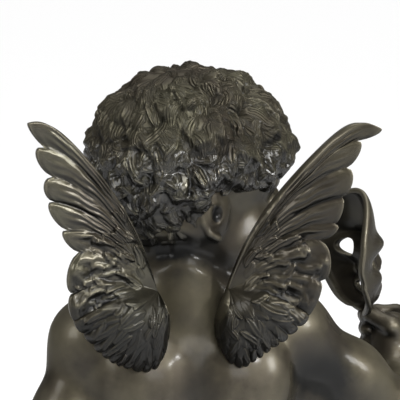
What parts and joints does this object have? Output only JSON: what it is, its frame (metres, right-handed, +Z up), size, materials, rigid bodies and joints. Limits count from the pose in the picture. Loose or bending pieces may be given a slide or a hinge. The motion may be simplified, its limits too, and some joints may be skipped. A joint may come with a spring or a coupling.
{
  "type": "cupid statue",
  "caption": "Winged cupid in patinated bronze, seen standing with a theatre mask held up in one hand, cloth round the hips, on a low turned round base.",
  "frame": {"origin": "centre of the round base's underside", "axes": "+Z up, the figure's front towards -Y, its left hand towards +X"},
  "size_m": [0.2221, 0.188, 0.5535],
  "materials": {
    "bronze_base": "dark brown patina, satin",
    "bronze_figure": "dark olive brown patina, satin with rubbed high spots",
    "bronze_wing_left": "dark brown patina, satin",
    "bronze_wing_right": "dark brown patina, satin",
    "bronze_mask": "dark brown patina, satin"
  },
  "bodies": {
    "root": {"base": "bronze_base", "figure": "bronze_figure", "wing_left": "bronze_wing_left", "wing_right": "bronze_wing_right", "mask": "bronze_mask"}
  },
  "joints": []
}
